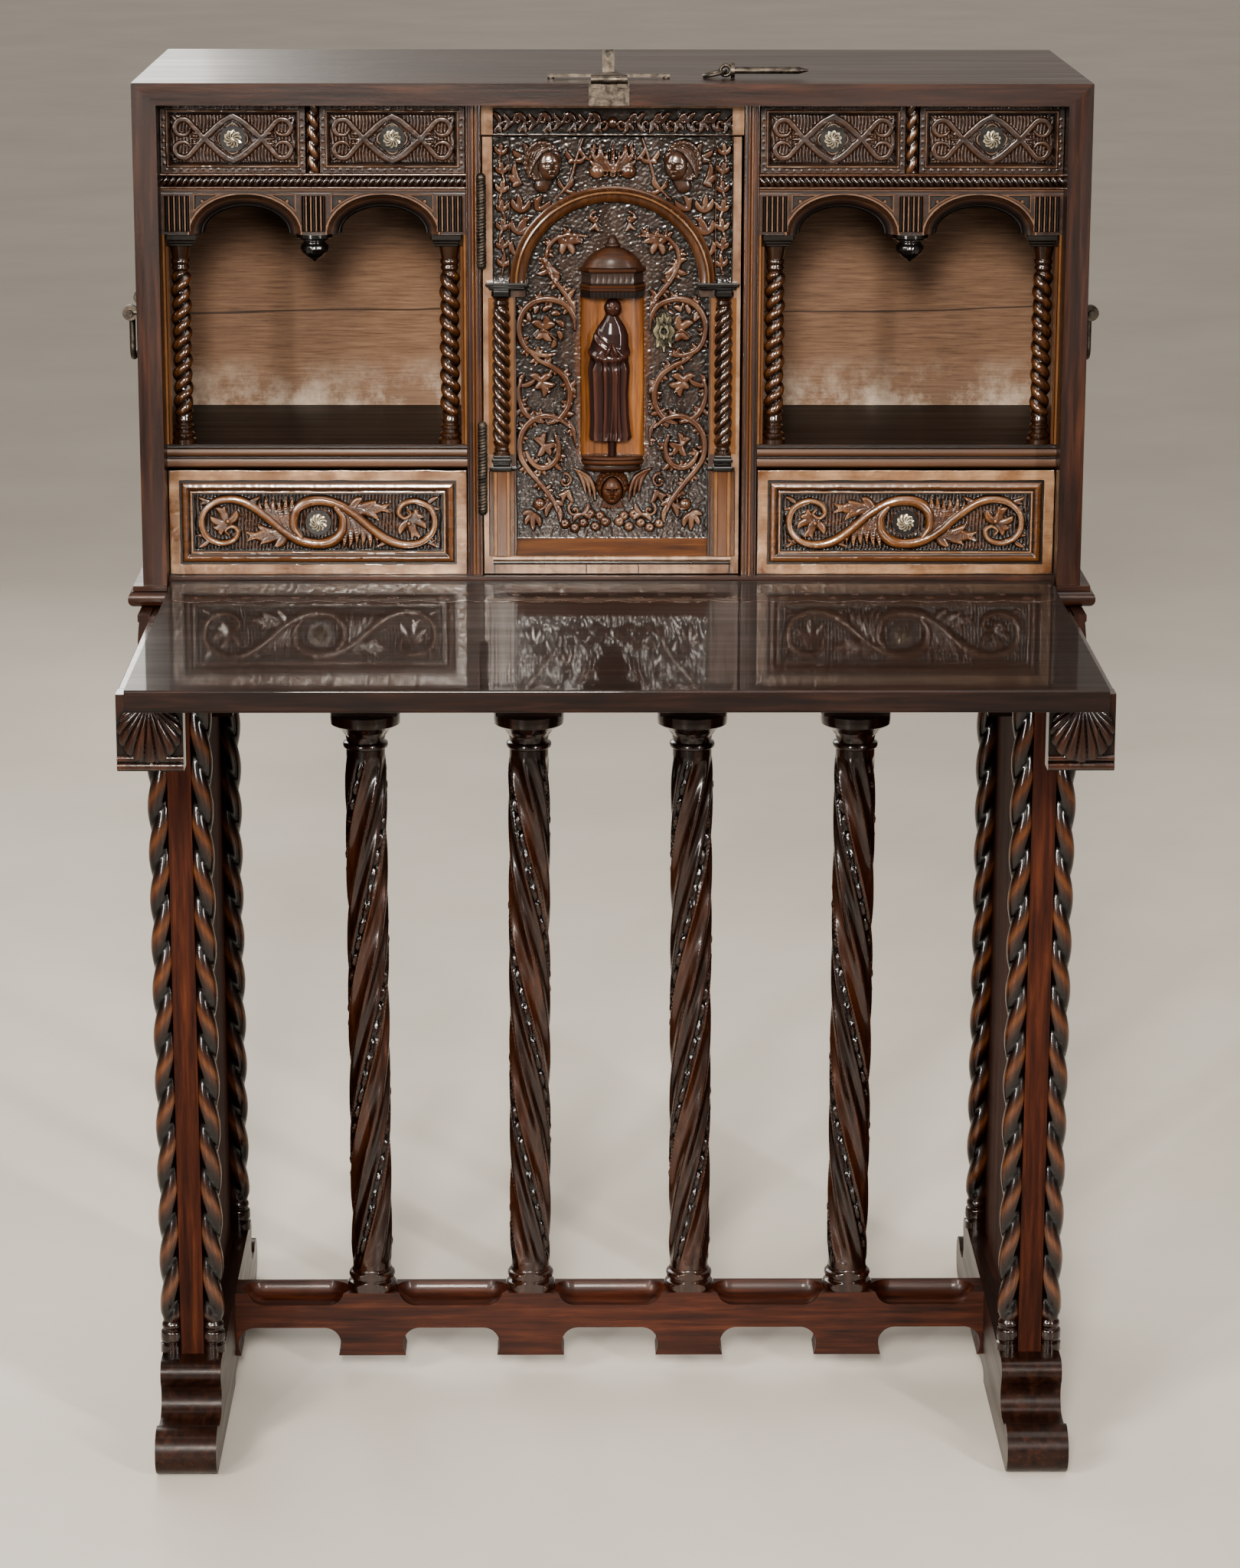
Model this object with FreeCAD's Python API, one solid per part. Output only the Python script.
import FreeCAD, Part
import math
import os

# Vargueno: a fall-front writing cabinet on its bridge stand.
# Lengths are millimetres, x runs across the front, y from front to back, z up from the floor.
# Pieces are drawn with y = 0 at the front of the case. At the end every piece moves so that
# the origin is on the floor, under the middle of the whole object with its fall open.

Vec = FreeCAD.Vector

# Whole object
case_height = 504.0
case_width = 950.0
case_depth = 412.0
desk_height = 910.0

# Clearances
seat_gap = 0.3
side_gap = 0.8
pin_gap = 0.08
overrun = 5.0

# Case boards
top_board = 22.0
side_board = 24.0
back_board = 10.0
floor_step = 4.0
moulding_out = 15.0
moulding_front = 10.0
moulding_fillet = 5.0
moulding_step = 5.0

# Fall
fall_thickness = 21.0
fall_end_gap = 3.0
fall_top_gap = 1.5
fall_edge_round = 2.0
fall_heel_round = 8.0
pivot_inset = 7.0
pivot_radius = 3.5
pivot_in_fall = 16.0
pivot_in_case = 14.0
apron_thickness = 1.5
apron_inset = 8.0
apron_depth = 96.0
apron_end_gap = 8.0
apron_lobes = 18
apron_lobe_height = 9.0
lock_plate_size = 104.0
lock_plate_thickness = 2.0
mortise_width = 18.0
mortise_height = 12.0
mortise_depth = 18.5
mortise_gap = 2.0

# Interior
front_setback = 34.0
divider_board = 16.0
bead_radius = 4.0
cupboard_width = 262.0
lower_opening = 110.0
lower_shelf = 24.0
upper_shelf = 16.0
upper_opening = 70.0
shelf_nose = 8.0
post_width = 13.0
post_depth = 240.0
compartment_back_space = 109.0
compartment_back = 8.0

# Drawers
drawer_front = 14.0
drawer_side = 8.0
drawer_bottom = 6.0
drawer_back_gap = 38.0
drawer_top_gap = 2.0
lower_border = 25.0
upper_border = 8.0
front_recess = 4.5
pull_radius = 9.0
pull_height = 8.0
pull_seat = 13.0
pull_shank_radius = 2.0
pull_shank_length = 12.0

# Arcades
arcade_thickness = 18.0
arcade_block = 26.5
arcade_keystone = 24.0
arcade_height = 45.0
arcade_rise_height = 35.0
arcade_reveal = 6.0
pendant_radius = 16.0
pendant_drop = 28.0
small_column_inset = 17.0
small_column_radius = 12.0

# Door
door_thickness = 22.0
door_gap = 1.3
door_swing_gap = 2.2
door_head = 32.0
head_border = 10.0
head_recess = 3.0
panel_recess = 7.0
spandrel_recess = 4.5
spandrel_half_width = 118.0
spandrel_top_border = 8.0
panel_half_width = 97.0
panel_bottom = 39.0
panel_bevel = 17.0
arch_spring_drop = 147.0
arch_half_width = 99.0
arch_rise_height = 90.0
arch_band = 13.0
arch_proud = 6.0
capital_height = 15.0
capital_inner = 84.0
door_column_x = 112.0
door_column_radius = 9.3
door_base_height = 16.0
pilaster_width = 17.0
pilaster_foot = 22.0
pilaster_height = 86.0
pilaster_proud = 4.0
niche_half_width = 32.0
niche_foot = 122.0
niche_top_drop = 15.0
niche_depth = 9.0
canopy_prism = 26.0
canopy_dome = 22.0
canopy_finial = 14.0
canopy_proud = 15.0
canopy_finial_radius = 4.0
figure_peg = 16.2
figure_half_width = 22.0
figure_half_depth = 9.5
figure_peg_radius = 4.0
figure_head_radius = 8.0
corbel_plinth = 12.5
corbel_drop = 35.0
escutcheon_x = 52.0
escutcheon_drop = 50.0
escutcheon_width = 22.0
escutcheon_height = 42.0
escutcheon_thickness = 1.8
keyhole_radius = 2.2
keyhole_slot = 7.0

# Door hinges
hinge_radius = 5.0
hinge_pin_radius = 2.2
hinge_height = 87.0
hinge_finial = 5.0
hinge_low = 111.0
hinge_top_drop = 85.0
hinge_stand_off = 5.4
hinge_leaf = 9.0

# Door lock
lock_case_width = 62.0
lock_case_height = 52.0
lock_case_depth = 16.0
bolt_length = 40.0
bolt_height = 12.0
bolt_thickness = 6.0
bolt_travel = 7.0
bolt_set_back = 2.0

# Hasp and its loose pin
hasp_x = -4.0
hasp_plate_width = 40.0
hasp_plate_thickness = 2.2
hasp_barrel_radius = 4.5
hasp_barrel_length = 36.0
hasp_pin_radius = 2.0
hasp_knuckle = 16.0
hasp_strap_width = 20.0
hasp_strap_thickness = 3.0
hasp_strap_length = 112.0
hasp_arm_at = 60.0
hasp_arm_span = 61.0
hasp_arm_width = 7.0
hasp_staple_at = 88.0
hasp_staple_width = 12.0
hasp_staple_thickness = 6.0
hasp_staple_height = 22.0
hasp_eye_radius = 2.5
loose_pin_x = 122.0
loose_pin_y = 62.0
loose_pin_radius = 3.5
loose_pin_length = 64.0
loose_pin_tip = 10.0
loose_pin_collar_radius = 7.5
loose_pin_collar = 4.0
eye_radius = 5.0
eye_wire = 2.0
ring_radius = 11.0
ring_wire = 1.9

# Bail handles on the case sides
handle_drop = 9.0
handle_half_span = 58.0
handle_plate_length = 146.0
handle_plate_height = 30.0
handle_plate_thickness = 2.0
handle_stand_off = 21.0
handle_eye_radius = 8.0
handle_post_radius = 5.0
handle_eye_width = 9.0
bail_wire = 3.2
bail_drop = 50.0
bail_turn = 12.0
bail_stub = 8.0

# Stand
stand_front = -45.0
stand_depth = 390.0
trestle_x = 439.5
trestle_board = 24.0
foot_width = 63.0
foot_height = 97.0
foot_reach = 108.0
foot_roll_radius = 24.5
foot_bulge_radius = 14.5
foot_top_ledge = 17.0
foot_arch_height = 12.0
foot_arch_half_length = 40.0
rope_radius = 10.0
rope_seat = 1.0
rope_base_height = 34.0
rope_base_radius = 13.0
bearer_height = 88.7
bearer_floor = 30.0
bearer_inner_reach = 10.0
bearer_outer_cheek = 10.5

# Lopers
loper_width = 62.0
loper_bar_width = 30.0
loper_head = 24.0
loper_head_height = 73.7
loper_length = 380.0
loper_pull_out = 325.0
shell_radius = 30.0
shell_depth = 8.0

# Bridge
bridge_pitch = 173.0
bridge_columns = 4
bridge_depth = 43.0
stretcher_bottom = 25.0
stretcher_top = 97.0
stretcher_waist_bottom = 57.0
stretcher_block = 68.0
stretcher_cove = 18.0
stretcher_end_block = 3.0
stretcher_flare = 2.5
scoop_radius = 24.0
scoop_front = 16.0
scoop_rim = 83.0
scoop_margin = 10.0
scoop_end = 8.0
column_radius = 19.5
column_base_height = 25.0
column_base_radius = 27.0
column_capital_height = 38.0
column_capital_radius = 37.0
column_top_drop = 58.0
bridge_arch_radius = 52.0
bridge_rail_rise = 65.0
bridge_rail_depth = 40.0

# Outlines of turned and carved pieces, as shares of their radius or half width and height
small_column_shares = [
    (1.0, 0.0), (1.0, 0.03), (0.8, 0.045), (0.95, 0.06), (0.95, 0.08), (0.72, 0.1),
    (0.72, 0.9), (0.9, 0.915), (0.72, 0.93), (0.95, 0.96), (1.0, 0.97), (1.0, 1.0)]
rope_base_shares = [
    (1.0, 0.0), (1.0, 0.25), (0.78, 0.35), (0.95, 0.5), (0.95, 0.7), (0.77, 0.8), (0.77, 1.0)]
column_base_shares = [
    (0.96, 0.0), (1.0, 0.15), (1.0, 0.3), (0.78, 0.4), (0.78, 0.5), (0.93, 0.62), (0.93, 0.8),
    (0.72, 1.0)]
column_capital_shares = [
    (0.53, 0.0), (0.64, 0.08), (0.64, 0.2), (0.55, 0.28), (0.62, 0.5), (0.86, 0.68), (1.0, 0.7),
    (1.0, 1.0)]
pendant_shares = [
    (1.0, 1.0), (1.0, 0.86), (0.75, 0.8), (0.85, 0.55), (0.6, 0.3), (0.3, 0.14), (0.36, 0.06),
    (0.0, 0.0)]
pull_shares = [(1.0, 0.0), (1.0, 0.3), (0.86, 0.62), (0.5, 0.9), (0.0, 1.0)]
figure_shares = [
    (0.72, 0.0), (0.8, 0.12), (0.66, 0.35), (0.72, 0.52), (0.86, 0.7), (0.74, 0.82), (0.3, 0.86),
    (0.24, 0.93)]
finial_shares = [(0.5, 0.0), (1.0, 0.35), (0.6, 0.7), (0.35, 0.8), (0.0, 1.0)]
canopy_roof_shares = [(0.8, 0.8, 0.0), (0.62, 0.7, 0.5), (0.2, 0.4, 1.0)]
corbel_shares = [(0.7, 0.9, 1.0), (0.55, 0.8, 0.5), (0.2, 0.3, 0.0)]
plate_waist_share = 0.55
shell_middle_share = 1.2
foot_valley_share = 1.65
flare_height_share = 0.25
nose_round_share = 0.45

# Places worked out from the sizes above
total_height = desk_height + case_height
case_half = case_width / 2
inner_half = case_half - side_board
ceiling = total_height - top_board
case_under = desk_height - fall_thickness - seat_gap
floor_top = desk_height + floor_step
back_front = case_depth - back_board
pivot_y = fall_thickness - pivot_inset
pivot_z = desk_height - pivot_inset
floor_front = pivot_y + math.hypot(pivot_inset, pivot_inset) + side_gap
fall_half = inner_half - fall_end_gap
fall_length = ceiling - fall_top_gap - (pivot_z - pivot_inset)
fall_front = fall_thickness - fall_length
cupboard_half = cupboard_width / 2
bay_inner = cupboard_half + divider_board
bay_middle = (bay_inner + inner_half) / 2
lower_shelf_under = floor_top + lower_opening
lower_shelf_top = lower_shelf_under + lower_shelf
upper_shelf_top = ceiling - upper_opening
upper_shelf_under = upper_shelf_top - upper_shelf
compartment_height = upper_shelf_under - lower_shelf_top
compartment_back_y = back_front - compartment_back_space - compartment_back
drawer_depth = back_front - front_setback - drawer_back_gap
door_top = ceiling - door_head
hinge_x = -cupboard_half - side_gap / 2
hinge_y = front_setback - hinge_stand_off
stand_middle = stand_front + stand_depth / 2
stand_back = stand_front + stand_depth
bearer_under = case_under - bearer_height
column_top = bearer_under - column_top_drop
column_shaft_top = column_top - column_capital_height
bridge_rail_top = bearer_under + bridge_rail_rise
bearer_outer = case_half
loper_outer = bearer_outer - bearer_outer_cheek - side_gap / 2
loper_x = loper_outer - loper_width / 2
loper_bar_inner = loper_outer - loper_bar_width
bearer_inner = loper_outer - loper_width - side_gap / 2 - bearer_inner_reach
trestle_inner = trestle_x - trestle_board / 2
foot_inner = trestle_x - foot_width / 2
foot_half_length = stand_depth / 2 + foot_reach
handle_z = (desk_height + total_height) / 2 + handle_drop / 2
handle_y = case_depth / 2
hasp_axis_y = -hasp_barrel_radius
hasp_axis_z = total_height + hasp_barrel_radius
footprint_middle = (fall_front + stand_middle + foot_half_length) / 2


def block(x_range, y_range, z_range):
    low = Vec(min(x_range), min(y_range), min(z_range))
    high = Vec(max(x_range), max(y_range), max(z_range))
    size = high - low
    return Part.makeBox(size.x, size.y, size.z, low)


def plate_xz(points, y_low, y_high):
    corners = [Vec(x, y_low, z) for x, z in points]
    face = Part.Face(Part.makePolygon(corners + corners[:1]))
    return face.extrude(Vec(0, y_high - y_low, 0))


def plate_yz(points, x_low, x_high):
    corners = [Vec(x_low, y, z) for y, z in points]
    face = Part.Face(Part.makePolygon(corners + corners[:1]))
    return face.extrude(Vec(x_high - x_low, 0, 0))


def rod(start, end, radius):
    return Part.makeCylinder(radius, (end - start).Length, start, end - start)


def oval_plate(x, z, half_width, half_height, y_low, y_high):
    centre = Vec(x, y_low, z)
    if half_width >= half_height:
        curve = Part.Ellipse(centre + Vec(half_width, 0, 0), centre + Vec(0, 0, half_height), centre)
    else:
        curve = Part.Ellipse(centre + Vec(0, 0, half_height), centre + Vec(half_width, 0, 0), centre)
    face = Part.Face(Part.Wire(curve.toShape()))
    return face.extrude(Vec(0, y_high - y_low, 0))


def turned(shares, radius, height, foot, axis=Vec(0, 0, 1)):
    """A piece turned on a lathe, from an outline of radius and height shares, foot first."""
    outline = [Vec(share * radius, 0, level * height) for share, level in shares]
    points = [Vec(0, 0, outline[0].z)] + outline + [Vec(0, 0, outline[-1].z)]
    corners = [points[0]]
    for point in points[1:]:
        if (point - corners[-1]).Length > radius / 1e6:
            corners.append(point)
    face = Part.Face(Part.makePolygon(corners + corners[:1]))
    solid = face.revolve(Vec(0, 0, 0), Vec(0, 0, 1), 360)
    turn = FreeCAD.Rotation(Vec(0, 0, 1), axis)
    solid.Placement = FreeCAD.Placement(foot, turn)
    return solid


def mirrored(shape):
    return shape.mirror(Vec(0, 0, 0), Vec(1, 0, 0))


def pair(shape):
    return Part.makeCompound([mirrored(shape), shape])


def side_copy(shape, side):
    return shape if side > 0 else mirrored(shape)


def edges_at(shape, test):
    return [edge for edge in shape.Edges if all(test(v.Point) for v in edge.Vertexes)]


def near(value, target):
    return abs(value - target) < seat_gap / 10


# Case

def case_top():
    corners = [(-case_half, total_height), (case_half, total_height),
               (inner_half, ceiling), (-inner_half, ceiling)]
    return plate_xz(corners, 0, case_depth)


def case_side(side):
    corners = [(inner_half, desk_height), (case_half, desk_height),
               (case_half, total_height), (inner_half, ceiling)]
    return side_copy(plate_xz(corners, 0, case_depth), side)


def case_bottom():
    return block((-inner_half, inner_half), (floor_front, back_front), (case_under, floor_top))


def case_back():
    return block((-inner_half, inner_half), (back_front, case_depth), (case_under, ceiling))


def base_moulding(side):
    """The moulding under a case side: a full nose on the outside and the front, and a fillet."""
    outer = case_half + moulding_out
    nose_top = desk_height - moulding_fillet
    nose = block((inner_half, outer), (-moulding_front, case_depth), (case_under, nose_top))
    outside = edges_at(nose, lambda p: near(p.x, outer) and not near(p.z, 0))
    front = edges_at(nose, lambda p: near(p.y, -moulding_front))
    rounded = [e for e in outside + front if near(e.Vertexes[0].Z, e.Vertexes[-1].Z)]
    unique = {e.hashCode(): e for e in rounded}
    nose = nose.makeFillet((nose_top - case_under) * nose_round_share, list(unique.values()))
    fillet = block((inner_half, outer - moulding_step),
                   (-moulding_front + moulding_step, case_depth), (nose_top, desk_height))
    bore = rod(Vec(inner_half - overrun, pivot_y, pivot_z),
               Vec(inner_half + pivot_in_case, pivot_y, pivot_z), pivot_radius)
    return side_copy(nose.fuse(fillet).removeSplitter().cut(bore), side)


def fall_pivot_pins():
    pin = rod(Vec(fall_half - pivot_in_fall + seat_gap, pivot_y, pivot_z),
              Vec(inner_half + pivot_in_case, pivot_y, pivot_z), pivot_radius)
    return pair(pin)


# Interior of the case

def divider(side):
    """An upright board with two beads worked on its front edge."""
    board = block((cupboard_half, bay_inner), (front_setback + bead_radius, back_front),
                  (floor_top, ceiling))
    for share in (1, 3):
        x = cupboard_half + share * divider_board / 4
        bead = rod(Vec(x, front_setback + bead_radius, floor_top),
                   Vec(x, front_setback + bead_radius, ceiling), bead_radius)
        board = board.fuse(bead)
    board = board.removeSplitter()
    if side > 0:
        board = board.cut(bolt_mortise())
    return side_copy(board, side)


def lower_shelf_board():
    board = block((bay_inner, inner_half), (front_setback, back_front),
                  (lower_shelf_under, lower_shelf_top))
    edges = edges_at(board, lambda p: near(p.y, front_setback) and near(p.z, lower_shelf_under))
    return board.makeFillet(shelf_nose, edges)


def upper_shelf_board():
    board = block((bay_inner, inner_half), (front_setback, back_front),
                  (upper_shelf_under, upper_shelf_top))
    edges = edges_at(board, lambda p: near(p.y, front_setback))
    rounded = [edge for edge in edges if near(edge.Vertexes[0].Z, edge.Vertexes[-1].Z)]
    return board.makeFillet(upper_shelf * nose_round_share, rounded)


def drawer_post():
    middle = bay_middle
    radius = post_width / 2
    board = block((middle - radius, middle + radius),
                  (front_setback + radius, front_setback + post_depth), (upper_shelf_top, ceiling))
    front = rod(Vec(middle, front_setback + radius, upper_shelf_top),
                Vec(middle, front_setback + radius, ceiling), radius)
    return board.fuse(front).removeSplitter()


def compartment_back_board():
    return block((bay_inner, inner_half),
                 (compartment_back_y, compartment_back_y + compartment_back),
                 (lower_shelf_top, upper_shelf_under))


def arcade(side):
    """Two round-headed openings side by side, with a turned drop under the middle block."""
    top = upper_shelf_under
    spring = top - arcade_height
    y_low, y_high = front_setback, front_setback + arcade_thickness
    band = block((bay_inner, inner_half), (y_low, y_high), (spring, top))
    block_edge = bay_inner + arcade_block
    keystone_edge = bay_middle - arcade_keystone / 2
    half_span = (keystone_edge - block_edge) / 2
    for way in (-1, 1):
        x = bay_middle + way * (arcade_keystone / 2 + half_span)
        band = band.cut(oval_plate(x, spring, half_span - arcade_reveal, arcade_rise_height,
                                   y_low - overrun, y_high + overrun))
    drop = turned(pendant_shares[::-1], pendant_radius, pendant_drop,
                  Vec(bay_middle, front_setback + arcade_thickness / 2, spring - pendant_drop))
    return side_copy(band.fuse(drop).removeSplitter(), side)


def arcade_columns():
    height = compartment_height - arcade_height
    y = front_setback + small_column_radius
    columns = []
    for x in (bay_inner + small_column_inset, inner_half - small_column_inset):
        column = turned(small_column_shares, small_column_radius, height,
                        Vec(x, y, lower_shelf_top))
        columns += [mirrored(column), column]
    return Part.makeCompound(columns)


def door_head_rail():
    rail = block((-cupboard_half, cupboard_half),
                 (front_setback, front_setback + door_thickness), (door_top, ceiling))
    field = block((-cupboard_half + head_border, cupboard_half - head_border),
                  (front_setback - overrun, front_setback + head_recess),
                  (door_top + head_recess, ceiling - head_border))
    return rail.cut(field)


# Drawers

def drawer_boards(x_range, z_range, border):
    """A drawer as separate boards: front, two sides, back and bottom."""
    x_low, x_high = x_range[0] + side_gap, x_range[1] - side_gap
    z_low, z_high = z_range[0] + seat_gap, z_range[1] - drawer_top_gap
    front_y = front_setback + drawer_front
    back_y = front_setback + drawer_depth
    middle_x, middle_z = (x_low + x_high) / 2, (z_low + z_high) / 2
    front = block((x_low, x_high), (front_setback, front_y), (z_low, z_high))
    field = block((x_low + border, x_high - border),
                  (front_setback - overrun, front_setback + front_recess),
                  (z_low + border, z_high - border))
    boss = rod(Vec(middle_x, front_setback - overrun, middle_z),
               Vec(middle_x, front_y, middle_z), pull_seat)
    shank = rod(Vec(middle_x, front_setback - overrun, middle_z),
                Vec(middle_x, front_setback + pull_shank_length + seat_gap, middle_z),
                pull_shank_radius + pin_gap)
    front = front.cut(field.cut(boss)).cut(shank)
    low = z_low + drawer_bottom
    left = block((x_low, x_low + drawer_side), (front_y, back_y), (low, z_high))
    right = block((x_high - drawer_side, x_high), (front_y, back_y), (low, z_high))
    back = block((x_low + drawer_side, x_high - drawer_side), (back_y - drawer_side, back_y),
                 (low, z_high))
    bottom = block((x_low, x_high), (front_y, back_y), (z_low, low))
    return Part.makeCompound([front, left, right, back, bottom]), Vec(middle_x, front_setback, middle_z)


def drawer_pull(seat):
    """A domed knob with its shank through the drawer front."""
    knob = turned(pull_shares, pull_radius, pull_height, seat, Vec(0, -1, 0))
    shank = rod(seat, seat + Vec(0, pull_shank_length, 0), pull_shank_radius)
    return knob.fuse(shank)


def drawer_places():
    post = post_width / 2
    upper = (upper_shelf_top, ceiling)
    lower = (floor_top, lower_shelf_under)
    inner = (bay_inner, bay_middle - post)
    outer = (bay_middle + post, inner_half)
    flip = lambda span: (-span[1], -span[0])
    return {
        "upper_left_outer": (flip(outer), upper, upper_border),
        "upper_left_inner": (flip(inner), upper, upper_border),
        "upper_right_inner": (inner, upper, upper_border),
        "upper_right_outer": (outer, upper, upper_border),
        "lower_left": (flip((bay_inner, inner_half)), lower, lower_border),
        "lower_right": ((bay_inner, inner_half), lower, lower_border)}


# Door

door_bottom = floor_top + door_gap
door_left = hinge_x + door_gap
door_right = cupboard_half - door_swing_gap
spring_z = door_top - arch_spring_drop
recess_y = front_setback + panel_recess
niche_low = floor_top + niche_foot
niche_high = spring_z - niche_top_drop
escutcheon_z = spring_z - escutcheon_drop


def door_panel():
    """The door board with its arched panel, spandrels and niche sunk into the front."""
    back_y = front_setback + door_thickness
    board = block((door_left, door_right), (front_setback, back_y), (door_bottom, door_top - door_gap))
    y_low = front_setback - overrun
    column_foot = spring_z - capital_height
    panel_low = floor_top + panel_bottom
    field = block((-panel_half_width, panel_half_width), (y_low, recess_y), (panel_low, column_foot))
    neck = block((-capital_inner, capital_inner), (y_low, recess_y), (column_foot, spring_z))
    head = oval_plate(0, spring_z, arch_half_width - arch_band, arch_rise_height - arch_band,
                      y_low, recess_y)
    upper = block((-case_half, case_half), (y_low, recess_y), (spring_z, total_height))
    bevel = plate_yz([(recess_y, panel_low), (front_setback, panel_low - panel_bevel),
                      (front_setback - overrun, panel_low - panel_bevel),
                      (front_setback - overrun, panel_low)], -panel_half_width, panel_half_width)
    spandrels = block((-spandrel_half_width, spandrel_half_width),
                      (y_low, front_setback + spandrel_recess),
                      (spring_z, door_top - door_gap - spandrel_top_border))
    spandrels = spandrels.cut(oval_plate(0, spring_z, arch_half_width, arch_rise_height,
                                         y_low - overrun, recess_y))
    niche = block((-niche_half_width, niche_half_width), (y_low, recess_y + niche_depth),
                  (niche_low, niche_high))
    for tool in (field, neck, head.common(upper), bevel, spandrels, niche, keyhole(y_low, back_y)):
        board = board.cut(tool)
    return board.removeSplitter()


def keyhole(y_low, y_high):
    z = escutcheon_z
    hole = rod(Vec(escutcheon_x, y_low, z), Vec(escutcheon_x, y_high + overrun, z), keyhole_radius)
    slot = block((escutcheon_x - keyhole_radius / 2, escutcheon_x + keyhole_radius / 2),
                 (y_low, y_high + overrun), (z - keyhole_slot, z))
    return hole.fuse(slot)


def door_arch():
    y_low, y_high = front_setback - arch_proud, front_setback
    outer = oval_plate(0, spring_z, arch_half_width, arch_rise_height, y_low, y_high)
    inner = oval_plate(0, spring_z, arch_half_width - arch_band, arch_rise_height - arch_band,
                       y_low - overrun, y_high + overrun)
    upper = block((-case_half, case_half), (y_low, y_high), (spring_z, total_height))
    return outer.cut(inner).common(upper)


def door_columns():
    """Half columns with capital and base, each on a flat pilaster, either side of the panel."""
    face = front_setback
    ahead = block((-case_half, case_half), (-case_half, face), (0, total_height))
    capital_low = spring_z - capital_height
    base_low = floor_top + pilaster_foot + pilaster_height
    column_low = base_low + door_base_height
    outer = 2 * door_column_x - capital_inner
    shaft = rod(Vec(door_column_x, face, column_low), Vec(door_column_x, face, capital_low),
                door_column_radius).common(ahead)
    capital = block((capital_inner, min(outer, -door_left - side_gap)),
                    (face - door_column_radius, face), (capital_low, spring_z))
    base = block((door_column_x - door_column_radius, door_column_x + door_column_radius),
                 (face - door_column_radius, face), (base_low, column_low))
    pilaster = block((door_column_x - pilaster_width / 2, door_column_x + pilaster_width / 2),
                     (face - pilaster_proud, face), (floor_top + pilaster_foot, base_low))
    column = shaft.fuse([capital, base, pilaster]).removeSplitter()
    return pair(column)


def half_hexagon(half_width, y_back, proud, z):
    front = half_width * plate_waist_share
    return Part.makePolygon([Vec(-half_width, y_back, z), Vec(-front, y_back - proud, z),
                             Vec(front, y_back - proud, z), Vec(half_width, y_back, z),
                             Vec(-half_width, y_back, z)])


def niche_loft(shares, low, height):
    """Half hexagons, given as shares of width, projection and height, joined one to the next."""
    rings = [half_hexagon(niche_half_width * width, recess_y, canopy_proud * proud,
                          low + height * level) for width, proud, level in shares]
    return Part.makeLoft(rings, True, True)


def niche_canopy():
    """A half hexagon with a domed roof and a finial, flat at the back."""
    body = Part.Face(half_hexagon(niche_half_width, recess_y, canopy_proud, niche_high))
    body = body.extrude(Vec(0, 0, canopy_prism))
    roof_low = niche_high + canopy_prism
    roof = niche_loft(canopy_roof_shares, roof_low, canopy_dome)
    finial = turned(finial_shares, canopy_finial_radius, canopy_finial,
                    Vec(0, recess_y - canopy_finial_radius / 2, roof_low + canopy_dome))
    ahead = block((-case_half, case_half), (-case_half, recess_y), (0, total_height))
    return body.fuse([roof, finial.common(ahead)]).removeSplitter()


def niche_figure():
    """A robed standing figure on a short peg."""
    foot = niche_low + figure_peg
    figure_height = niche_high - foot - side_gap
    y = recess_y + niche_depth - figure_half_depth - seat_gap
    rings = []
    for share, level in figure_shares:
        centre = Vec(0, y, foot + level * figure_height)
        across = Vec(figure_half_width * share, 0, 0)
        through = Vec(0, figure_half_depth * share, 0)
        ring = Part.Ellipse(centre + across, centre + through, centre)
        rings.append(Part.Wire(ring.toShape()))
    robe = Part.makeLoft(rings, True, True)
    head_middle = Vec(0, y, foot + figure_height - figure_head_radius)
    head = Part.makeSphere(figure_head_radius, head_middle)
    neck = rod(centre, head_middle, figure_half_depth * share)
    peg = rod(Vec(0, y, niche_low), Vec(0, y, foot), figure_peg_radius)
    return robe.fuse([neck, head, peg])


def niche_corbel():
    """The half hexagon shelf under the figure and the tapering bracket that carries it."""
    top = niche_low - corbel_plinth
    plinth = Part.Face(half_hexagon(niche_half_width, recess_y, canopy_proud, top))
    plinth = plinth.extrude(Vec(0, 0, corbel_plinth))
    bracket = niche_loft(corbel_shares, top - corbel_drop, corbel_drop)
    return plinth.fuse(bracket).removeSplitter()


def door_escutcheon():
    plate = oval_plate(escutcheon_x, escutcheon_z, escutcheon_width / 2,
                       escutcheon_height / 2, recess_y - escutcheon_thickness, recess_y)
    return plate.cut(keyhole(front_setback - overrun, recess_y))


def hinge_levels():
    return [floor_top + hinge_low, door_top - hinge_top_drop]


def hinge_knuckles(low, high):
    return rod(Vec(hinge_x, hinge_y, low), Vec(hinge_x, hinge_y, high), hinge_radius)


def door_hinge_fixed():
    """Upper and lower knuckles on their pin, with ball finials and a leaf on the divider."""
    hinges = []
    third = hinge_height / 3
    for middle in hinge_levels():
        low, high = middle - hinge_height / 2, middle + hinge_height / 2
        parts = [rod(Vec(hinge_x, hinge_y, low), Vec(hinge_x, hinge_y, high), hinge_pin_radius)]
        for start in (low, high - third):
            parts.append(hinge_knuckles(start, start + third - seat_gap))
            parts.append(block((hinge_x - hinge_leaf, hinge_x), (hinge_y, front_setback),
                               (start, start + third - seat_gap)))
        for level in (low, high - seat_gap):
            parts.append(Part.makeSphere(hinge_finial, Vec(hinge_x, hinge_y, level)))
        hinges.append(parts[0].fuse(parts[1:]).cut(door_leaf_room(middle)).removeSplitter())
    return Part.makeCompound(hinges)


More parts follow.
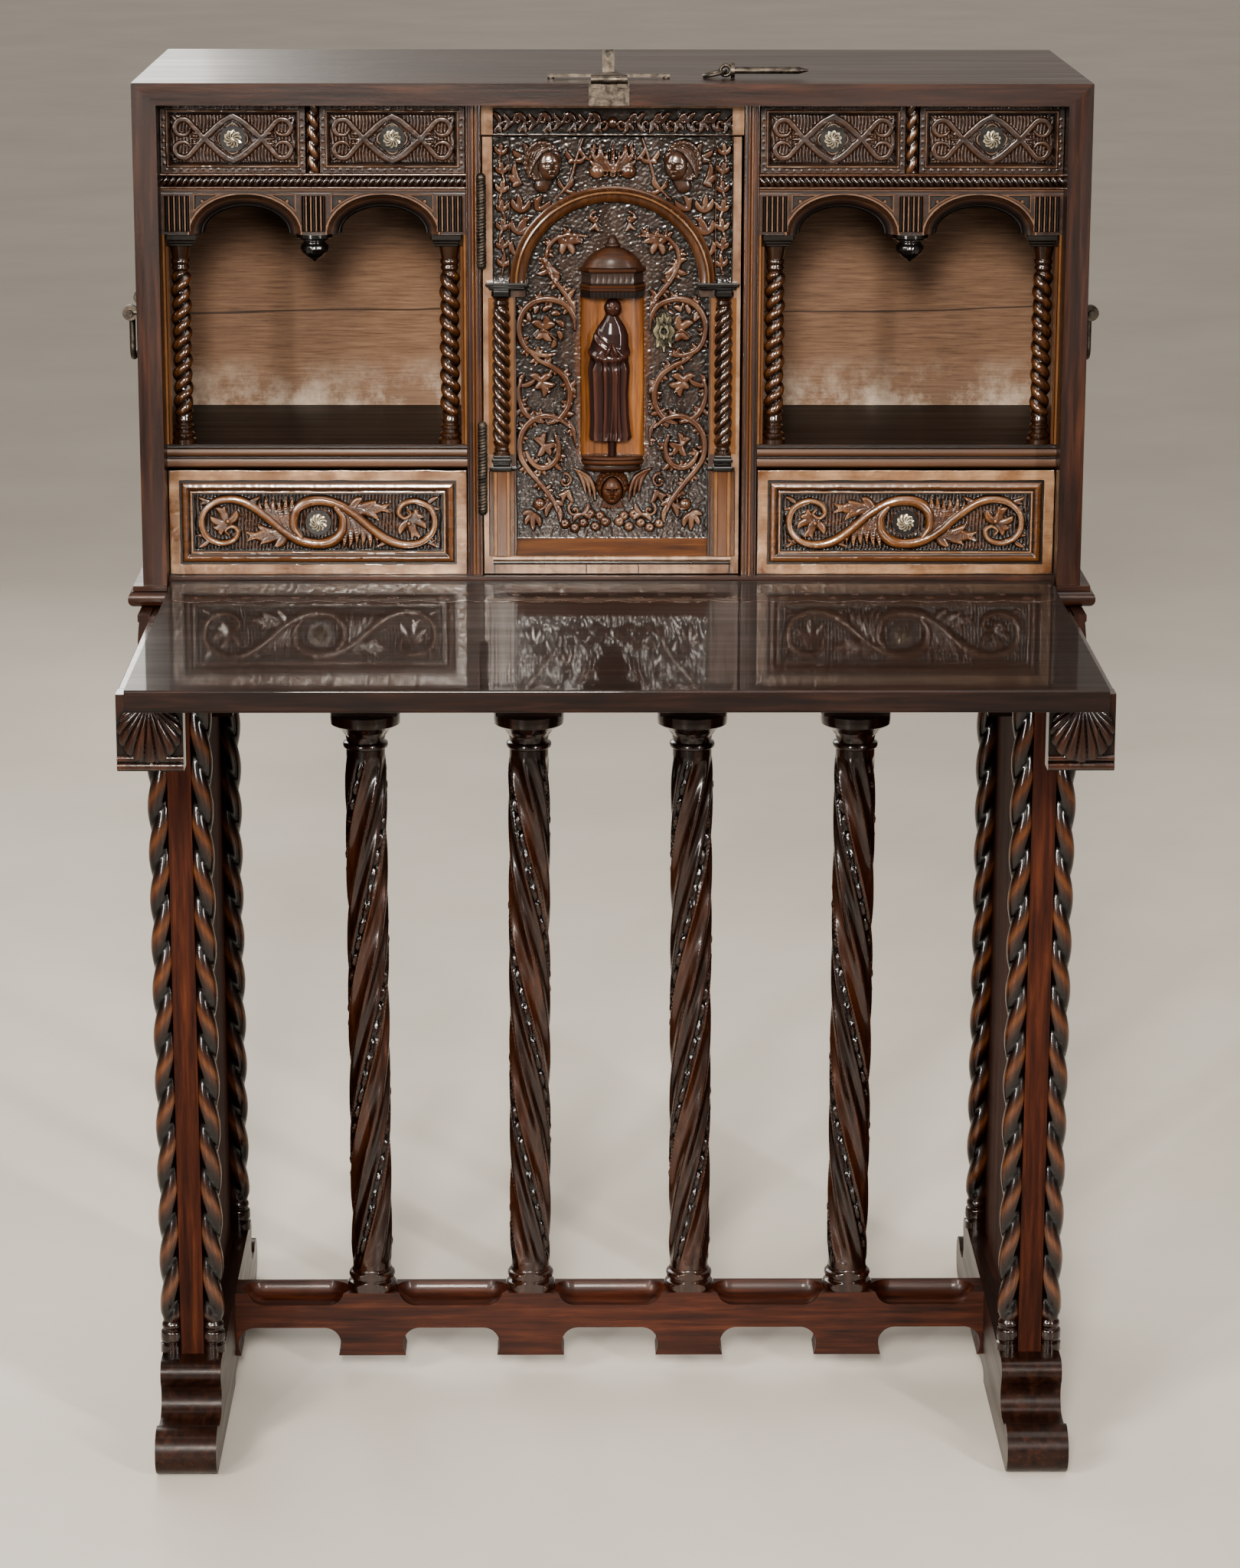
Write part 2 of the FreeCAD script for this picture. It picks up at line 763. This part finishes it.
def door_leaf_room(middle):
    third = hinge_height / 3
    low = middle - third / 2 - seat_gap
    return rod(Vec(hinge_x, hinge_y, low), Vec(hinge_x, hinge_y, low + third + seat_gap),
               hinge_radius + overrun).cut(
        rod(Vec(hinge_x, hinge_y, low - overrun), Vec(hinge_x, hinge_y, low + third + overrun),
            hinge_pin_radius))


def door_hinge_moving():
    """The middle knuckle of each hinge with its leaf on the door."""
    hinges = []
    third = hinge_height / 3
    for middle in hinge_levels():
        low, high = middle - third / 2, middle + third / 2 - seat_gap
        knuckle = hinge_knuckles(low, high)
        leaf = block((hinge_x, hinge_x + hinge_leaf), (hinge_y, front_setback), (low, high))
        bore = rod(Vec(hinge_x, hinge_y, low - overrun), Vec(hinge_x, hinge_y, high + overrun),
                   hinge_pin_radius + pin_gap)
        hinges.append(knuckle.fuse(leaf).cut(bore).removeSplitter())
    return Part.makeCompound(hinges)


def bolt_box(grow, travel):
    right = door_right - bolt_set_back
    z = escutcheon_z
    y = front_setback + door_thickness + lock_case_depth / 2
    return block((right - bolt_length - grow, right + grow + travel),
                 (y - bolt_thickness / 2 - grow, y + bolt_thickness / 2 + grow),
                 (z - bolt_height / 2 - grow, z + bolt_height / 2 + grow))


def door_bolt():
    return bolt_box(0, 0)


def bolt_mortise():
    return bolt_box(side_gap, bolt_travel)


def door_lock_case():
    right = door_right - bolt_set_back - side_gap
    z = escutcheon_z
    y = front_setback + door_thickness
    case = block((right - lock_case_width, right), (y, y + lock_case_depth),
                 (z - lock_case_height / 2, z + lock_case_height / 2))
    return case.cut(bolt_box(seat_gap, overrun))


# Fall

def apron_outline(z_low, z_high, grow):
    """A thin let-in strip along the hinge edge, with a scalloped front edge."""
    half = fall_half - apron_end_gap + grow
    back = fall_thickness - apron_inset + grow
    valley = fall_thickness - apron_depth
    step = 2 * (fall_half - apron_end_gap) / apron_lobes
    corner = Vec(half, back, z_low)
    edges = [Part.makeLine(Vec(-half, back, z_low), corner)]
    edges.append(Part.makeLine(corner, Vec(half, valley, z_low)))
    for lobe in range(apron_lobes):
        start = Vec(half - lobe * step, valley, z_low)
        end = Vec(half - (lobe + 1) * step, valley, z_low)
        middle = (start + end) / 2 - Vec(0, apron_lobe_height, 0)
        edges.append(Part.Arc(start, middle, end).toShape())
    edges.append(Part.makeLine(Vec(-half, valley, z_low), Vec(-half, back, z_low)))
    return Part.Face(Part.Wire(edges)).extrude(Vec(0, 0, z_high - z_low))


def staple_mortise_y():
    """Where the staple meets the open fall: its height when closed, turned down about the pivot."""
    closed_z = hasp_axis_z - hasp_staple_at
    return pivot_y - (closed_z - pivot_z)


def mortise(z_low, z_high, grow):
    y = staple_mortise_y()
    return block((hasp_x - mortise_width / 2 - grow, hasp_x + mortise_width / 2 + grow),
                 (y - mortise_height / 2 - grow, y + mortise_height / 2 + grow), (z_low, z_high))


def fall_board():
    under = desk_height - fall_thickness
    board = block((-fall_half, fall_half), (fall_front, fall_thickness), (under, desk_height))
    heel = edges_at(board, lambda p: near(p.y, fall_thickness) and near(p.z, under))
    board = board.makeFillet(fall_heel_round, heel)
    lip = [e for e in edges_at(board, lambda p: near(p.y, fall_front))
           if near(e.Vertexes[0].Z, e.Vertexes[-1].Z)]
    board = board.makeFillet(fall_edge_round, lip)
    bore = rod(Vec(fall_half - pivot_in_fall, pivot_y, pivot_z),
               Vec(fall_half + overrun, pivot_y, pivot_z), pivot_radius + pin_gap)
    recess = apron_outline(desk_height - apron_thickness, desk_height + overrun, 0)
    slot = mortise(under - overrun, under + mortise_depth, 0)
    for tool in (bore, mirrored(bore), recess, slot):
        board = board.cut(tool)
    return board


def hinge_apron():
    return apron_outline(desk_height - apron_thickness, desk_height, 0)


def fall_lock_plate():
    """A waisted iron plate round the staple's mortise, on the outside of the fall."""
    under = desk_height - fall_thickness
    y = staple_mortise_y()
    half = lock_plate_size / 2
    waist = half * plate_waist_share
    corners = [(-half, -half), (0, -waist), (half, -half), (waist, 0),
               (half, half), (0, waist), (-half, half), (-waist, 0)]
    points = [Vec(hasp_x + x, y + v, under - lock_plate_thickness) for x, v in corners]
    face = Part.Face(Part.makePolygon(points + points[:1]))
    plate = face.extrude(Vec(0, 0, lock_plate_thickness))
    return plate.cut(mortise(under - overrun, under + overrun, mortise_gap / 2))


# Hasp

def hasp_plate():
    """The plate over the front edge of the top, with the two outer knuckles and the pin."""
    plate = block((hasp_x - hasp_plate_width / 2, hasp_x + hasp_plate_width / 2),
                  (-hasp_plate_thickness, 0), (ceiling + seat_gap, total_height))
    half = hasp_barrel_length / 2
    axis = lambda x: Vec(x, hasp_axis_y, hasp_axis_z)
    parts = [rod(axis(hasp_x - half), axis(hasp_x + half), hasp_pin_radius)]
    for way in (-1, 1):
        near_end = hasp_x + way * (hasp_knuckle / 2 + seat_gap)
        far_end = hasp_x + way * half
        parts.append(rod(axis(near_end), axis(far_end), hasp_barrel_radius))
        parts.append(block((near_end, far_end), (hasp_axis_y, 0), (total_height, hasp_axis_z)))
        parts.append(block((near_end, far_end), (hasp_axis_y, -hasp_plate_thickness),
                           (total_height - hasp_barrel_radius, total_height)))
    return plate.fuse(parts).removeSplitter()


def hasp():
    """The strap folded back on the top, with scrolled arms and an upright staple."""
    start = Vec(hasp_x - hasp_knuckle / 2, hasp_axis_y, hasp_axis_z)
    knuckle = rod(start, start + Vec(hasp_knuckle, 0, 0), hasp_barrel_radius)
    bore = rod(start - Vec(overrun, 0, 0), start + Vec(hasp_knuckle + overrun, 0, 0),
               hasp_pin_radius + pin_gap)
    z_low = hasp_axis_z - hasp_strap_thickness + seat_gap
    z_high = z_low + hasp_strap_thickness
    half = hasp_strap_width / 2
    tip = hasp_axis_y + hasp_strap_length
    neck = hasp_knuckle / 2
    shoulder = tip - hasp_strap_width
    corners = [(-neck, hasp_axis_y), (neck, hasp_axis_y), (neck, hasp_barrel_radius),
               (half, hasp_strap_width), (half, shoulder), (0, tip), (-half, shoulder),
               (-half, hasp_strap_width), (-neck, hasp_barrel_radius)]
    points = [Vec(hasp_x + x, y, z_low) for x, y in corners]
    strap = Part.Face(Part.makePolygon(points + points[:1])).extrude(Vec(0, 0, z_high - z_low))
    arm_y = hasp_axis_y + hasp_arm_at
    arms = block((hasp_x - hasp_arm_span, hasp_x + hasp_arm_span),
                 (arm_y - hasp_arm_width / 2, arm_y + hasp_arm_width / 2), (z_low, z_high))
    staple_y = hasp_axis_y + hasp_staple_at
    staple = block((hasp_x - hasp_staple_width / 2, hasp_x + hasp_staple_width / 2),
                   (staple_y - hasp_staple_thickness / 2, staple_y + hasp_staple_thickness / 2),
                   (z_low, hasp_axis_z + hasp_staple_height))
    eye_z = hasp_axis_z + hasp_staple_height - 2 * hasp_eye_radius
    eye = rod(Vec(hasp_x, staple_y - hasp_staple_thickness, eye_z),
              Vec(hasp_x, staple_y + hasp_staple_thickness, eye_z), hasp_eye_radius)
    feet = []
    for way in (-1, 1):
        x = hasp_x + way * (hasp_arm_span - hasp_arm_width / 2)
        feet.append(rod(Vec(x, arm_y, total_height + seat_gap), Vec(x, arm_y, z_high),
                        hasp_arm_width / 2))
    shape = knuckle.fuse([strap, arms, staple] + feet).cut(bore).cut(eye)
    return shape.removeSplitter()


def locking_pin():
    """The loose iron pin lying on the top, with the ring through its eye."""
    z = total_height + loose_pin_collar_radius + seat_gap
    start = Vec(loose_pin_x, loose_pin_y, z)
    shaft = rod(start, start + Vec(loose_pin_length, 0, 0), loose_pin_radius)
    tip = Part.makeCone(loose_pin_radius, loose_pin_radius / 4, loose_pin_tip,
                        start + Vec(loose_pin_length, 0, 0), Vec(1, 0, 0))
    collar = rod(start - Vec(loose_pin_collar, 0, 0), start, loose_pin_collar_radius)
    eye_x = loose_pin_x - loose_pin_collar - eye_radius
    eye = Part.makeTorus(eye_radius, eye_wire, Vec(eye_x, loose_pin_y, z), Vec(0, 1, 0))
    near_z = z - (eye_radius - eye_wire - ring_wire - seat_gap)
    far_z = total_height + ring_wire + seat_gap
    tilt = math.asin((near_z - far_z) / (2 * ring_radius))
    ring_middle = Vec(eye_x - ring_radius * math.cos(tilt), loose_pin_y, (near_z + far_z) / 2)
    ring = Part.makeTorus(ring_radius, ring_wire, ring_middle, Vec(-math.sin(tilt), 0, math.cos(tilt)))
    return Part.makeCompound([shaft.fuse([tip, collar, eye]), ring])


# Handles on the case sides

def handle_mount():
    """A plate with two eyed posts, on the middle of a case side."""
    x = case_half
    plate = block((x, x + handle_plate_thickness),
                  (handle_y - handle_plate_length / 2, handle_y + handle_plate_length / 2),
                  (handle_z - handle_plate_height / 2, handle_z + handle_plate_height / 2))
    axis_x = x + handle_stand_off
    parts = []
    for way in (-1, 1):
        y = handle_y + way * handle_half_span
        parts.append(rod(Vec(x, y, handle_z), Vec(axis_x, y, handle_z), handle_post_radius))
        parts.append(rod(Vec(axis_x, y - handle_eye_width / 2, handle_z),
                         Vec(axis_x, y + handle_eye_width / 2, handle_z), handle_eye_radius))
    bore = rod(Vec(axis_x, handle_y - case_depth / 2, handle_z),
               Vec(axis_x, handle_y + case_depth / 2, handle_z), bail_wire + pin_gap)
    return plate.fuse(parts).removeSplitter().cut(bore)


def bail(side):
    """A hanging loop of round iron whose ends turn in the eyes."""
    x = case_half + handle_stand_off
    low = handle_z - bail_drop
    point = lambda along, z: Vec(x, handle_y + along, z)
    stub = handle_half_span + handle_eye_width / 2 + bail_stub
    corner = handle_half_span - handle_eye_width / 2 - bail_turn - side_gap
    turn = bail_turn
    eighth = turn * math.sqrt(0.5)
    edges = []
    for way in (-1, 1):
        top_centre = point(way * (corner + turn), handle_z - turn)
        edges.append(Part.makeLine(point(way * stub, handle_z), point(way * (corner + turn), handle_z)))
        edges.append(Part.Arc(point(way * (corner + turn), handle_z),
                              top_centre + Vec(0, -way * eighth, eighth),
                              point(way * corner, handle_z - turn)).toShape())
        edges.append(Part.makeLine(point(way * corner, handle_z - turn),
                                   point(way * corner, low + turn)))
        low_centre = point(way * (corner - turn), low + turn)
        edges.append(Part.Arc(point(way * corner, low + turn),
                              low_centre + Vec(0, way * eighth, -eighth),
                              point(way * (corner - turn), low)).toShape())
    edges.append(Part.makeLine(point(corner - turn, low), point(turn - corner, low)))
    path = Part.Wire(Part.__sortEdges__(edges))
    circle = Part.Wire(Part.makeCircle(bail_wire, point(-stub, handle_z), Vec(0, 1, 0)))
    loop = path.makePipeShell([circle], True, False)
    return side_copy(loop, side)


# Stand

def foot():
    """A sawn sled foot: a bulge, a cove and a rolled toe at each end, and a low arch underneath."""
    top = stand_depth / 2 + foot_top_ledge
    bulge = foot_bulge_radius
    roll = foot_roll_radius
    toe = foot_half_length - roll
    rise = foot_arch_height
    arch = foot_arch_half_length - rise
    half_root = math.sqrt(0.5)
    turn = math.radians(40)
    valley = roll * foot_valley_share
    bulge_middle = (top, foot_height - bulge)
    cove = (foot_height - valley) / (1 + math.sin(turn)) - bulge
    cove_middle = (top + (bulge + cove) * math.cos(turn), valley + cove)
    bulge_end = (top + bulge * math.cos(turn), bulge_middle[1] - bulge * math.sin(turn))
    cove_side = (cove_middle[0] - cove * half_root, cove_middle[1] - cove * half_root)
    cove_end = (cove_middle[0], valley)
    roll_start = (toe - math.sqrt(roll ** 2 - (valley - roll) ** 2), valley)

    def half(way):
        at = lambda u, z: Vec(foot_inner, stand_middle + way * u, z)
        nose = at(top + bulge * half_root, bulge_middle[1] + bulge * half_root)
        arch_middle = at(arch + rise * half_root, rise * half_root)
        return [
            Part.makeLine(at(0, foot_height), at(top, foot_height)),
            Part.Arc(at(top, foot_height), nose, at(*bulge_end)).toShape(),
            Part.Arc(at(*bulge_end), at(*cove_side), at(*cove_end)).toShape(),
            Part.makeLine(at(*cove_end), at(*roll_start)),
            Part.Arc(at(*roll_start), at(foot_half_length, roll), at(toe, 0)).toShape(),
            Part.makeLine(at(toe, 0), at(arch + rise, 0)),
            Part.Arc(at(arch + rise, 0), arch_middle, at(arch, rise)).toShape(),
            Part.makeLine(at(arch, rise), at(0, rise))]

    edges = half(-1) + half(1)
    face = Part.Face(Part.Wire(Part.__sortEdges__(edges)))
    return face.extrude(Vec(foot_width, 0, 0))


def trestle():
    return block((trestle_inner, trestle_inner + trestle_board), (stand_front, stand_back),
                 (foot_height, bearer_under))


def rope_columns():
    """Four round columns on each trestle, at the front and back of both faces."""
    height = bearer_under - foot_height
    clear = block((trestle_inner, trestle_inner + trestle_board),
                  (stand_front - overrun, stand_back + overrun), (0, total_height))
    columns = []
    for face, way in ((trestle_inner, -1), (trestle_inner + trestle_board, 1)):
        for y in (stand_front + rope_radius, stand_back - rope_radius):
            x = face + way * (rope_radius - rope_seat)
            shaft = rod(Vec(x, y, foot_height + rope_base_height),
                        Vec(x, y, foot_height + height), rope_radius)
            base = turned(rope_base_shares, rope_base_radius, rope_base_height,
                          Vec(x, y, foot_height))
            column = shaft.fuse(base).removeSplitter().cut(clear)
            columns += [mirrored(column), column]
    return Part.makeCompound(columns)


def bearer(side):
    """A channel that carries the case on its cheeks and holds the loper between them."""
    body = block((bearer_inner, bearer_outer), (stand_front, stand_back), (bearer_under, case_under))
    channel = block((loper_bar_inner - side_gap / 2, loper_outer + side_gap / 2),
                    (stand_front - overrun, stand_back + overrun),
                    (bearer_under + bearer_floor, case_under + overrun))
    return side_copy(body.cut(channel), side)


def loper(side):
    """A pull-out bearer with a shell-carved head, drawn pulled out."""
    head_back = stand_front - seat_gap - loper_pull_out
    head_front = head_back - loper_head
    low = bearer_under + bearer_floor + seat_gap
    bar = block((loper_bar_inner, loper_outer), (head_back, head_back + loper_length),
                (low, case_under))
    head = block((loper_outer - loper_width, loper_outer), (head_front, head_back),
                 (case_under - loper_head_height, case_under))
    shell = Part.makeSphere(shell_radius, Vec(0, 0, 0))
    squash = FreeCAD.Matrix()
    squash.scale(1, shell_depth / shell_radius, 1)
    shell = shell.transformGeometry(squash)
    shell.translate(Vec(loper_x, head_front, case_under - shell_radius * shell_middle_share))
    ahead = block((loper_x - loper_width, loper_x + loper_width),
                  (head_front - 2 * shell_depth, head_front), (0, case_under))
    shell = shell.common(ahead)
    return side_copy(bar.fuse([head, shell]).removeSplitter(), side)


def column_places():
    first = -(bridge_columns - 1) * bridge_pitch / 2
    return [first + i * bridge_pitch for i in range(bridge_columns)]


def stretcher():
    """The low rail: a block under each column, arches between them and scoops along the top."""
    y_low, y_high = stand_middle - bridge_depth / 2, stand_middle + bridge_depth / 2
    rail = block((-foot_inner, foot_inner), (y_low, y_high), (stretcher_bottom, stretcher_top))
    edge = stretcher_block / 2
    stops = [-foot_inner] + column_places() + [foot_inner]
    for left, right in zip(stops, stops[1:]):
        low = left + (edge if left > -foot_inner else stretcher_end_block)
        high = right - (edge if right < foot_inner else stretcher_end_block)
        rail = rail.cut(stretcher_arch(low, high, y_low, y_high))
        scoop_low = max(low - scoop_margin, scoop_end - foot_inner)
        scoop_high = min(high + scoop_margin, foot_inner - scoop_end)
        rail = rail.cut(stretcher_scoop(scoop_low, scoop_high, y_low))
    return rail.removeSplitter()


def stretcher_arch(low, high, y_low, y_high):
    flare = stretcher_flare
    lean = stretcher_bottom + (stretcher_waist_bottom - stretcher_bottom) * flare_height_share
    outline = [(low + flare, stretcher_bottom - overrun), (low + flare, stretcher_bottom), (low, lean),
               (low, stretcher_waist_bottom), (high, stretcher_waist_bottom), (high, lean),
               (high - flare, stretcher_bottom), (high - flare, stretcher_bottom - overrun)]
    tool = plate_xz(outline, y_low - overrun, y_high + overrun)
    corners = [e for e in edges_at(tool, lambda p: near(p.z, stretcher_waist_bottom))
               if near(e.Vertexes[0].X, e.Vertexes[-1].X)]
    return tool.makeFillet(stretcher_cove, corners)


def stretcher_scoop(low, high, y_low):
    drop = math.sqrt(scoop_radius ** 2 - scoop_front ** 2)
    y, z = y_low + scoop_front, scoop_rim + drop
    start = Vec(low + scoop_radius, y, z)
    end = Vec(high - scoop_radius, y, z)
    ends = [Part.makeSphere(scoop_radius, start), Part.makeSphere(scoop_radius, end)]
    return rod(start, end, scoop_radius).fuse(ends)


def bridge_column_set():
    """Columns from the stretcher to the arcade, with turned bases and flaring capitals."""
    columns = []
    base_top = stretcher_top + column_base_height
    for x in column_places():
        shaft = rod(Vec(x, stand_middle, base_top), Vec(x, stand_middle, column_shaft_top),
                    column_radius)
        base = turned(column_base_shares, column_base_radius, column_base_height,
                      Vec(x, stand_middle, stretcher_top))
        capital = turned(column_capital_shares, column_capital_radius,
                         column_top - column_shaft_top, Vec(x, stand_middle, column_shaft_top))
        room = block((x - column_capital_radius, x + column_capital_radius),
                     (stand_middle - bridge_depth / 2, stand_middle + bridge_depth / 2),
                     (0, total_height))
        foot_part = base.common(room)
        columns.append(shaft.fuse([foot_part, capital]).removeSplitter())
    return Part.makeCompound(columns)


def bridge_arcade():
    """Round arches from column to column, with the ends let against trestles and bearers."""
    y_low, y_high = stand_middle - bridge_rail_depth / 2, stand_middle + bridge_rail_depth / 2
    lower = block((-trestle_inner, trestle_inner), (y_low, y_high), (column_top, bearer_under))
    upper = block((-bearer_inner, bearer_inner), (y_low, y_high), (bearer_under, bridge_rail_top))
    rail = lower.fuse(upper).removeSplitter()
    first = -bridge_columns * bridge_pitch / 2
    for i in range(bridge_columns + 1):
        x = first + i * bridge_pitch
        rail = rail.cut(rod(Vec(x, y_low - overrun, column_top), Vec(x, y_high + overrun, column_top),
                            bridge_arch_radius))
    return rail


# All pieces by name

def pieces():
    shapes = {
        "case_top": case_top(),
        "case_bottom": case_bottom(),
        "case_back": case_back(),
        "fall_pivot_pins": fall_pivot_pins(),
        "upper_shelves": pair(upper_shelf_board()),
        "lower_shelves": pair(lower_shelf_board()),
        "drawer_posts": pair(drawer_post()),
        "compartment_backs": pair(compartment_back_board()),
        "arcade_columns": arcade_columns(),
        "door_head_rail": door_head_rail(),
        "door_panel": door_panel(),
        "door_arch": door_arch(),
        "door_columns": door_columns(),
        "niche_canopy": niche_canopy(),
        "niche_figure": niche_figure(),
        "niche_corbel": niche_corbel(),
        "door_escutcheon": door_escutcheon(),
        "door_hinge_fixed": door_hinge_fixed(),
        "door_hinge_moving": door_hinge_moving(),
        "door_lock_case": door_lock_case(),
        "door_bolt": door_bolt(),
        "fall_board": fall_board(),
        "hinge_apron": hinge_apron(),
        "fall_lock_plate": fall_lock_plate(),
        "hasp_plate": hasp_plate(),
        "hasp": hasp(),
        "locking_pin": locking_pin(),
        "handle_mounts": pair(handle_mount()),
        "feet": pair(foot()),
        "trestle_boards": pair(trestle()),
        "rope_columns": rope_columns(),
        "stretcher": stretcher(),
        "bridge_columns": bridge_column_set(),
        "bridge_arcade": bridge_arcade()}
    for name, side in (("left", -1), ("right", 1)):
        shapes["case_side_" + name] = case_side(side)
        shapes["base_moulding_" + name] = base_moulding(side)
        shapes["divider_" + name] = divider(side)
        shapes["arcade_" + name] = arcade(side)
        shapes["bail_" + name] = bail(side)
        shapes["bearer_" + name] = bearer(side)
        shapes["loper_" + name] = loper(side)
    for name, place in drawer_places().items():
        boards, seat = drawer_boards(*place)
        shapes["drawer_" + name] = boards
        shapes["pull_" + name] = drawer_pull(seat)
    return shapes


os.makedirs("parts", exist_ok=True)
for name, shape in pieces().items():
    shape.translate(Vec(0, -footprint_middle, 0))
    shape.exportStep("parts/" + name + ".step")
